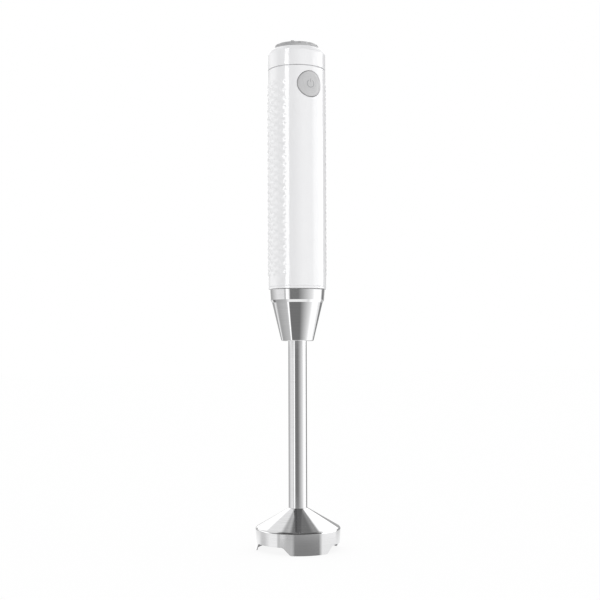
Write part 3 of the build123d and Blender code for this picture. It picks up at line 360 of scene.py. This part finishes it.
button_low, button_high = (Vector(corner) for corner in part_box("power_button"))
button_middle = (button_low + button_high) / 2
OWN_FINISHES = {
    "power_button": turned_metal("spun_silver", (0.50, 0.50, 0.505), 0.48, 1500.0, 6e-6, metallic=0.1,
                                 centre=button_middle),
    # The bell's second colour, (0.20, 0.20, 0.205), is painted shade for its inside
    "bell_guard": bell_steel("bell_steel", (0.64, 0.64, 0.645), (0.20, 0.20, 0.205), 0.07, 0.4, 5200.0,
                             0.5e-6),
}
for entry in frame["record"]["subparts"]:
    surfaces = nodes[entry["node"]].data.materials
    surfaces.clear()
    surfaces.append(OWN_FINISHES.get(entry["node"], FINISHES[entry["material_slot"]]))


# Handle: a smooth tube with the button's hole, and the studs of its grip; power sign on the button


def new_piece(name, vertices, faces, material, smooth=True, sharp=()):
    """Object with a mesh of its own; sharp lists the corners round a face that keeps its edges."""
    mesh = bpy.data.meshes.new(name)
    mesh.from_pydata(vertices, [], faces)
    mesh.update()
    mesh.materials.append(material)
    if smooth:
        mesh.shade_smooth()
    creases = {frozenset(pair) for pair in zip(sharp, [*sharp[1:], *sharp[:1]])}
    for edge in mesh.edges:
        edge.use_edge_sharp = frozenset(edge.vertices) in creases
    return link(bpy.data.objects.new(name, mesh))


def handle_tube(low, high, button_height):
    """Tube of the handle with the button's hole; its corners carry the true normals of the surface."""
    hole = BUTTON_RADIUS + BUTTON_GAP
    half = PATCH_REACH * hole
    patch_turn = math.asin(half / HANDLE_RADIUS)
    steps = [2 * step / PATCH_SIDES - 1 for step in range(PATCH_SIDES + 1)]
    turns = [patch_turn * step for step in steps]
    around = math.tau - 2 * patch_turn
    turns += [patch_turn + around * column / TUBE_COLUMNS for column in range(1, TUBE_COLUMNS)]
    levels = [button_height + half * step for step in steps]
    vertices, faces, normals = [], [], []

    def corner(position):
        vertices.append(position)
        return len(vertices) - 1

    def circle(radius, height):
        return [corner(direction(turn) * radius + Vector((0, 0, height))) for turn in turns]

    def on_wall(x, height, radius):
        return Vector((x, -math.sqrt(radius * radius - x * x), height))

    def radial(index, sign):
        return Vector((vertices[index].x, vertices[index].y, 0)).normalized() * sign

    def inward(index):
        return Vector((-vertices[index].x, 0, button_height - vertices[index].z)).normalized()

    def add(face, facing):
        faces.append(face)
        normals.extend(facing(index) for index in face)

    def skin(radius, sign, first_row, last_row, rim):
        """Wall at one radius, open at the hole; returns its end rows and the rim of the hole."""
        grid = [circle(radius, height) for height in (first_row, *levels, last_row)]

        def quad(*ring):
            add(ring if sign > 0 else ring[::-1], lambda index: radial(index, sign))

        for row in range(len(grid) - 1):
            for column in range(len(turns)):
                if 1 <= row <= PATCH_SIDES and column < PATCH_SIDES:
                    continue
                after = (column + 1) % len(turns)
                quad(grid[row][column], grid[row][after], grid[row + 1][after], grid[row + 1][column])
        last = PATCH_SIDES
        square = [grid[1][step] for step in range(last)]
        square += [grid[1 + step][last] for step in range(last)]
        square += [grid[1 + last][last - step] for step in range(last)]
        square += [grid[1 + last - step][0] for step in range(last)]
        rings = [square]
        for share in PATCH_RINGS:
            ring = []
            for index in range(len(square)):
                # The square starts at its lower left corner, three eighths of a turn before the right
                angle = math.tau * (index / len(square) - 3 / 8)
                x, z = (rim * part * (1 - share) + share * half * max(-1, min(1, math.sqrt(2) * part))
                        for part in (math.cos(angle), math.sin(angle)))
                ring.append(corner(on_wall(x, button_height + z, radius)))
            rings.append(ring)
        for outer, inner in zip(rings, rings[1:]):
            for index in range(len(square)):
                after = (index + 1) % len(square)
                quad(outer[index], outer[after], inner[after], inner[index])
        return grid[0], grid[-1], rings[-1]

    outer_low, outer_high, outer_rim = skin(HANDLE_RADIUS, 1, low + HANDLE_CHAMFER, high - HANDLE_CHAMFER,
                                            hole + HOLE_EDGE)
    inner_low, inner_high, inner_rim = skin(HANDLE_RADIUS - HANDLE_WALL, -1, low, high, hole)
    edge = []
    for index in outer_rim:
        offset = inward(index) * -hole
        edge.append(corner(on_wall(offset.x, button_height + offset.z, HANDLE_RADIUS - HOLE_EDGE)))
    for index in range(len(edge)):
        after = (index + 1) % len(edge)
        add((outer_rim[index], outer_rim[after], edge[after], edge[index]),
            lambda spot: radial(spot, 1) if spot in (outer_rim[index], outer_rim[after]) else inward(spot))
        add((edge[index], edge[after], inner_rim[after], inner_rim[index]), inward)
    for wall, bore_end, level, up in ((outer_low, inner_low, low, -1), (outer_high, inner_high, high, 1)):
        lip = circle(HANDLE_RADIUS - HANDLE_CHAMFER, level)
        flat = Vector((0, 0, up))
        for column in range(len(turns)):
            after = (column + 1) % len(turns)
            slope = (wall[column], wall[after], lip[after], lip[column])
            end = (lip[column], lip[after], bore_end[after], bore_end[column])
            add(slope[::up], lambda spot: (radial(spot, 1) + flat).normalized())
            add(end[::up], lambda spot: flat)
    piece = new_piece("handle_tube", vertices, faces, FINISHES["white_plastic"])
    piece.data.normals_split_custom_set(normals)
    return piece


def stud_mesh(column_turn):
    """One low pyramid with rounded ridges on the wall at the front, closed below."""
    span = STUD_STEPS + 1
    vertices = []
    for row in range(span):
        for column in range(span):
            climb = 2 * row / STUD_STEPS - 1
            fall = 2 * column / STUD_STEPS - 1
            away = (abs(fall) ** GRIP_SQUARE + abs(climb) ** GRIP_SQUARE) ** (1 / GRIP_SQUARE)
            height = (GRIP_PROUD + GRIP_SUNK) * math.cos(min(away, 1.0) * math.pi / 2) ** 2 - GRIP_SUNK
            place = direction((fall + climb) / 4 * column_turn) * (HANDLE_RADIUS + height)
            vertices.append(place + Vector((0, 0, (climb - fall) / 4 * GRIP_ROW_PITCH)))
    faces = []
    for row in range(STUD_STEPS):
        for column in range(STUD_STEPS):
            first = row * span + column
            faces.append((first, first + 1, first + span + 1, first + span))
    steps = range(STUD_STEPS)
    around = [*steps, *[STUD_STEPS + span * step for step in steps]]
    around += [span * span - 1 - step for step in steps]
    around += [span * (STUD_STEPS - step) for step in steps]
    faces.append(tuple(reversed(around)))
    return vertices, faces


def lattice_group():
    """Geometry Nodes tree that sets its piece out in rows and columns round Z, and half a step between."""
    tree = bpy.data.node_groups.new("stud_lattice", "GeometryNodeTree")
    tree.interface.new_socket("Geometry", in_out="INPUT", socket_type="NodeSocketGeometry")
    kinds = {"Rows": "Int", "Columns": "Int", "Row Pitch": "Float", "Column Turn": "Float",
             "First Turn": "Float", "Foot": "Float", "Surface": "Material"}
    for label, kind in kinds.items():
        tree.interface.new_socket(label, in_out="INPUT", socket_type="NodeSocket" + kind)
    tree.interface.new_socket("Geometry", in_out="OUTPUT", socket_type="NodeSocketGeometry")
    given = tree.nodes.new("NodeGroupInput").outputs
    out = tree.nodes.new("NodeGroupOutput")
    join = tree.nodes.new("GeometryNodeJoinGeometry")

    def upward(z):
        node = tree.nodes.new("ShaderNodeCombineXYZ")
        tree.links.new(z, node.inputs["Z"])
        return node.outputs[0]

    def spread_out(geometry, points, rotation=None):
        node = tree.nodes.new("GeometryNodeInstanceOnPoints")
        tree.links.new(points, node.inputs["Points"])
        tree.links.new(geometry, node.inputs["Instance"])
        if rotation is not None:
            tree.links.new(rotation, node.inputs["Rotation"])
        return node.outputs[0]

    for shift in (0, 1):
        rows = math_node(tree, "SUBTRACT", given["Rows"], shift)
        columns = math_node(tree, "SUBTRACT", given["Columns"], shift)
        line = tree.nodes.new("GeometryNodeMeshLine")
        tree.links.new(rows, line.inputs["Count"])
        half_row = math_node(tree, "MULTIPLY", given["Row Pitch"], shift / 2)
        start = upward(math_node(tree, "ADD", given["Foot"], half_row))
        tree.links.new(start, line.inputs["Start Location"])
        tree.links.new(upward(given["Row Pitch"]), line.inputs["Offset"])
        column = spread_out(given["Geometry"], line.outputs[0])
        spots = tree.nodes.new("GeometryNodeMeshLine")
        tree.links.new(columns, spots.inputs["Count"])
        spots.inputs["Offset"].default_value = (0, 0, 0)
        index = tree.nodes.new("GeometryNodeInputIndex").outputs[0]
        turn = math_node(tree, "MULTIPLY", math_node(tree, "ADD", index, shift / 2), given["Column Turn"])
        spin = upward(math_node(tree, "ADD", turn, given["First Turn"]))
        tree.links.new(spread_out(column, spots.outputs[0], spin), join.inputs[0])
    real = tree.nodes.new("GeometryNodeRealizeInstances")
    tree.links.new(join.outputs[0], real.inputs[0])
    surface = tree.nodes.new("GeometryNodeSetMaterial")
    tree.links.new(real.outputs[0], surface.inputs["Geometry"])
    tree.links.new(given["Surface"], surface.inputs["Material"])
    tree.links.new(surface.outputs[0], out.inputs[0])
    return tree


def grip_studs(low):
    """All studs of the grip as one mesh."""
    column_turn = (math.tau - 2 * GRIP_FIRST_AZIMUTH) / (GRIP_COLUMNS - 1)
    vertices, faces = stud_mesh(column_turn)
    piece = new_piece("grip_studs", vertices, faces, FINISHES["white_plastic"], sharp=faces[-1])
    tree = lattice_group()
    lattice = piece.modifiers.new("lattice", "NODES")
    lattice.node_group = tree
    values = {"Rows": GRIP_ROWS, "Columns": GRIP_COLUMNS, "Row Pitch": GRIP_ROW_PITCH,
              "Column Turn": column_turn, "First Turn": GRIP_FIRST_AZIMUTH, "Foot": low + GRIP_FOOT,
              "Surface": FINISHES["white_plastic"]}
    for item in tree.interface.items_tree:
        if item.in_out == "INPUT" and item.name in values:
            lattice[item.identifier] = values[item.name]
    bpy.context.view_layer.update()
    whole = bpy.data.meshes.new_from_object(piece.evaluated_get(bpy.context.evaluated_depsgraph_get()))
    piece.modifiers.remove(lattice)
    piece.data = whole
    return piece


def power_mark(button_height):
    """Ring and bar on the middle of the button, the plain sign for power, on the curve of its face."""
    face = HANDLE_RADIUS + BUTTON_PROUD
    vertices, faces = [], []

    def strip(path):
        """Raised line along pairs of (x, z) points, closed all round."""
        start = len(vertices)
        for pair in path:
            for x, z in pair:
                for rise in (MARK_PROUD, -MARK_PROUD):
                    vertices.append(Vector((x, -math.sqrt(face * face - x * x) - rise, button_height + z)))
        end = len(vertices) - 4
        for near in range(start, end, 4):
            far = near + 4
            faces.extend([(near, far, far + 2, near + 2), (near + 1, near + 3, far + 3, far + 1),
                          (near, near + 1, far + 1, far), (near + 2, far + 2, far + 3, near + 3)])
        faces.extend([(start, start + 2, start + 3, start + 1), (end, end + 1, end + 3, end + 2)])

    arc = []
    for step in range(MARK_STEPS + 1):
        angle = math.pi / 2 + MARK_GAP / 2 + (math.tau - MARK_GAP) * step / MARK_STEPS
        arc.append([(radius * math.cos(angle), radius * math.sin(angle))
                    for radius in (MARK_RADIUS - MARK_LINE / 2, MARK_RADIUS + MARK_LINE / 2)])
    strip(arc)
    strip([[(MARK_LINE / 2, height), (-MARK_LINE / 2, height)] for height in MARK_BAR])
    return new_piece("power_mark", vertices, faces, FINISHES["mark"], smooth=False)


shell_low, shell_high = (corner[2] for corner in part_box("handle_shell"))
handle_pieces = [handle_tube(shell_low, shell_high, button_middle.z), grip_studs(shell_low)]
for piece in handle_pieces:
    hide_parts("handle_shell")
    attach(piece, "handle")
sign = power_mark(button_middle.z)
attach(sign, "button")


# Studio

FLOOR_HALF = 6.0
FLOOR_GLOW = 0.9


def floor_material():
    """White to the camera but for the object's soft shadow."""
    material, tree, surface = bare_material("pale_floor")
    paint = tree.nodes.new("ShaderNodeBsdfDiffuse")
    glow = tree.nodes.new("ShaderNodeEmission")
    blend = tree.nodes.new("ShaderNodeMixShader")
    path = tree.nodes.new("ShaderNodeLightPath")
    paint.inputs["Color"].default_value = (1, 1, 1, 1)
    seen = math_node(tree, "MULTIPLY", path.outputs["Is Camera Ray"], FLOOR_GLOW)
    tree.links.new(seen, blend.inputs["Fac"])
    tree.links.new(paint.outputs[0], blend.inputs[1])
    tree.links.new(glow.outputs[0], blend.inputs[2])
    tree.links.new(blend.outputs[0], surface)
    return material


def floor():
    """Pale plane under the object, which the polished pieces don't mirror."""
    corners = [(x * FLOOR_HALF, y * FLOOR_HALF, 0) for x, y in ((-1, -1), (1, -1), (1, 1), (-1, 1))]
    mesh = bpy.data.meshes.new("floor")
    mesh.from_pydata(corners, [], [(0, 1, 2, 3)])
    mesh.materials.append(floor_material())
    piece = link(bpy.data.objects.new("floor", mesh))
    piece.visible_glossy = False


# Brightness of the even light on everything, and of the pale room that the polished pieces mirror. In the
# room are soft lights and dark walls, each laid over the ones before it: the degrees to the right of the
# camera where it begins and ends, how soft these two edges are, its brightness, and the slopes that it
# reaches between.
EVEN_LIGHT = 0.97
ROOM = 1.3
STUDIO = {
    "left_low": (-200, -50, 1, 2, 0.72, -0.75, -0.21),
    "left_wall": (-200, -88, 1, 20, 0.55, -0.75, -0.21),
    "left_post": (-142, -124, 4, 5, 0.28, -0.75, -0.21),
    "left_corner": (-200, -144, 1, 4, 1.1, -0.75, -0.21),
    "rim_left": (-124, -92, 8, 10, 0.85, -0.21, -0.15),
    "left_back": (-200, -112, 1, 30, 0.5, -0.15, 0.02),
    "left_box": (-94, -58, 10, 3, 1.15, -0.15, 0.02),
    "left_top": (-126, -84, 8, 10, 2.0, 0.02, 0.28),
    "left_shade": (-84, -28, 10, 2, 0.25, 0.02, 0.28),
    "left_edge": (-163, -143, 2, 8, 0.6, 0.04, 0.26),
    "left_gap": (-58, -49.5, 2, 1, 0.8, -0.75, 0.02),
    "strip_low": (-48, -41.5, 1.2, 1.2, 1.8, -0.75, -0.21),
    "strip_foot": (-48.5, -38.5, 1.2, 1.5, 1.8, -0.15, 0.02),
    "rim_card": (-52, -14, 5, 6, 0.75, -0.21, -0.15),
    "camera_side": (-40, 44, 2, 30, 0.25, -0.75, -0.21),
    "rim_front": (-14, 64, 5, 6, 0.31, -0.21, -0.15),
    "foot_front": (-33, 38, 3, 34, 0.26, -0.15, 0.02),
    "panel_front": (-28, 68, 1.5, 3, 0.15, 0.02, 0.28),
    "right_box": (74, 140, 6, 8, 1.6, -0.75, -0.21),
    "rim_right": (70, 200, 4, 1, 1.2, -0.21, -0.15),
    "right_foot": (74, 124, 6, 6, 1.6, -0.15, 0.02),
    "right_top": (69, 126, 4, 3, 4.5, 0.02, 0.28),
    "right_wall": (140, 200, 8, 1, 0.35, -0.75, -0.21),
    "foot_back": (126, 200, 6, 1, 0.3, -0.15, 0.02),
    "top_back": (129, 200, 3, 1, 0.5, 0.02, 0.28),
    "high_left": (-200, -40, 1, 20, 1.6, 0.28, 0.645),
    "high_side": (-140, -40, 10, 20, 1.0, 0.28, 1.1),
    "high_left_grey": (-200, -40, 1, 20, 1.15, 0.645, 0.865),
    "high_left_dim": (-200, -40, 1, 20, 0.7, 0.865, 1.1),
    "high_right": (60, 200, 20, 1, 1.6, 0.28, 0.82),
    "high_front": (-66, 78, 9, 12, 0.1, 0.28, 1.1),
    "ceiling_left": (-200, -163, 1, 3, 0.25, 0.85, 1.1),
    "ceiling_side": (-150, -57, 8, 9, 0.2, 0.88, 1.1),
    "ceiling_right": (-40, 200, 20, 1, 0.24, 0.82, 1.1),
    "ceiling_edge": (90, 200, 20, 1, 0.42, 0.82, 0.88),
}
SLOPE_EDGE = 0.015


def studio_world():
    """White behind the object, even light on it, and the room for the polished pieces to mirror."""
    world = bpy.data.worlds.new("studio")
    scene.world = world
    world.use_nodes = True
    tree = world.node_tree
    tree.nodes.clear()
    output = tree.nodes.new("ShaderNodeOutputWorld")
    background = tree.nodes.new("ShaderNodeBackground")
    background.inputs["Color"].default_value = (1, 1, 1, 1)
    tree.links.new(background.outputs[0], output.inputs["Surface"])
    toward = tree.nodes.new("ShaderNodeTexCoord").outputs["Generated"]
    eye = direction(EYE_AZIMUTH)
    right = Vector((-eye.y, eye.x, 0))

    def along(axis):
        node = tree.nodes.new("ShaderNodeVectorMath")
        node.operation = "DOT_PRODUCT"
        tree.links.new(toward, node.inputs[0])
        node.inputs[1].default_value = axis
        return node.outputs["Value"]

    turn = math_node(tree, "DEGREES", math_node(tree, "ARCTAN2", along(right), along(eye)))
    slope = along((0, 0, 1))

    def reach(value, start, start_soft, end, end_soft):
        """One between two soft edges, and nought outside them."""
        begun = ranged(tree, value, start - start_soft, start + start_soft)
        over = ranged(tree, value, end - end_soft, end + end_soft)
        return math_node(tree, "SUBTRACT", begun, over)

    def laid_over(under, factor, brightness):
        node = tree.nodes.new("ShaderNodeMix")
        tree.links.new(factor, node.inputs["Factor"])
        feed(tree, under, node.inputs[2])
        feed(tree, brightness, node.inputs[3])
        return node.outputs[0]

    mirrored = ROOM
    for start, end, start_soft, end_soft, brightness, low, high in STUDIO.values():
        across = reach(turn, start, start_soft, end, end_soft)
        up = reach(slope, low, SLOPE_EDGE, high, SLOPE_EDGE)
        mirrored = laid_over(mirrored, math_node(tree, "MULTIPLY", across, up), brightness)
    path = tree.nodes.new("ShaderNodeLightPath")
    lit = laid_over(EVEN_LIGHT, path.outputs["Is Glossy Ray"], mirrored)
    tree.links.new(laid_over(lit, path.outputs["Is Camera Ray"], 1.0), background.inputs["Strength"])


# Two lamps that only the handle and what it carries mirror: metres from the axis, turns to the right of the
# camera, the width and the heights in metres, and the brightness. The panel's turns are where it begins,
# where its brightness starts and stops growing, and where it ends.
LAMP_AWAY = 1.2
STRIP_TURN = math.radians(-39.2)
STRIP_WIDTH = 0.345
STRIP_SPAN = (0.02, 1.65)
STRIP_BRIGHTNESS = 6.0
PANEL_TURNS = [math.radians(turn) for turn in (-28, -12, 24, 68)]
PANEL_SPAN = (0.1, 0.9)
PANEL_BRIGHTNESS = (0.35, 2.25)


def handle_lamp(name, turn, width, span, brightness, pieces):
    """Soft upright lamp that only the given pieces mirror."""
    data = bpy.data.lights.new(name, "AREA")
    data.shape = "RECTANGLE"
    data.size = width
    data.size_y = span[1] - span[0]
    data.energy = brightness * math.pi * data.size * data.size_y
    lamp = link(bpy.data.objects.new(name, data))
    lamp.location = direction(EYE_AZIMUTH + turn) * LAMP_AWAY + Vector((0, 0, sum(span) / 2))
    lamp.rotation_euler = (math.pi / 2, 0, EYE_AZIMUTH + turn)
    lamp.visible_camera = False
    lamp.visible_diffuse = False
    lit = bpy.data.collections.new(name + "_lit")
    for piece in pieces:
        lit.objects.link(piece)
    lamp.light_linking.receiver_collection = lit
    return data


def panel_lamp(pieces):
    """Wide lamp in front of the smooth panel, dim beside the strip and brighter towards the right."""
    middle = (PANEL_TURNS[0] + PANEL_TURNS[-1]) / 2
    places = [math.tan(turn - middle) for turn in PANEL_TURNS]
    width = places[-1] - places[0]
    growth = [(place - places[0]) / width for place in places[1:3]]
    data = handle_lamp("panel", middle, LAMP_AWAY * width, PANEL_SPAN, 1.0, pieces)
    data.use_nodes = True
    tree = data.node_tree
    split = tree.nodes.new("ShaderNodeSeparateXYZ")
    tree.links.new(tree.nodes.new("ShaderNodeNewGeometry").outputs["Parametric"], split.inputs[0])
    brightness = ranged(tree, split.outputs["X"], *growth, *PANEL_BRIGHTNESS)
    tree.links.new(brightness, tree.nodes["Emission"].inputs["Strength"])


def photograph_camera():
    """Camera at the photograph's place, with the horizon and the object's axis where they lie there."""
    data = bpy.data.cameras.new("photograph")
    data.sensor_width = SENSOR
    data.lens = SENSOR * FOCAL_PIXELS / PICTURE
    camera = link(bpy.data.objects.new("photograph", data))
    eye = direction(EYE_AZIMUTH) * EYE_DISTANCE
    place = Vector((eye.x, eye.y, EYE_HEIGHT))
    pitch = math.atan((HORIZON_PIXEL - PICTURE / 2) / FOCAL_PIXELS)
    swing = math.atan((PICTURE / 2 - AXIS_PIXEL) / FOCAL_PIXELS)
    aim = (Matrix.Rotation(EYE_AZIMUTH - swing, 4, "Z") @ Matrix.Rotation(math.pi / 2 + pitch, 4, "X")
           @ Matrix.Rotation(LEAN, 4, "Z"))
    camera.matrix_world = Matrix.Translation(place) @ aim
    scene.camera = camera


floor()
studio_world()
white_pieces = [*handle_pieces, nodes["top_cap"], nodes["lock_socket"]]
handle_lamp("strip", STRIP_TURN, STRIP_WIDTH, STRIP_SPAN, STRIP_BRIGHTNESS, white_pieces)
panel_lamp([*white_pieces, nodes["power_button"], sign, nodes["speed_dial"]])
photograph_camera()
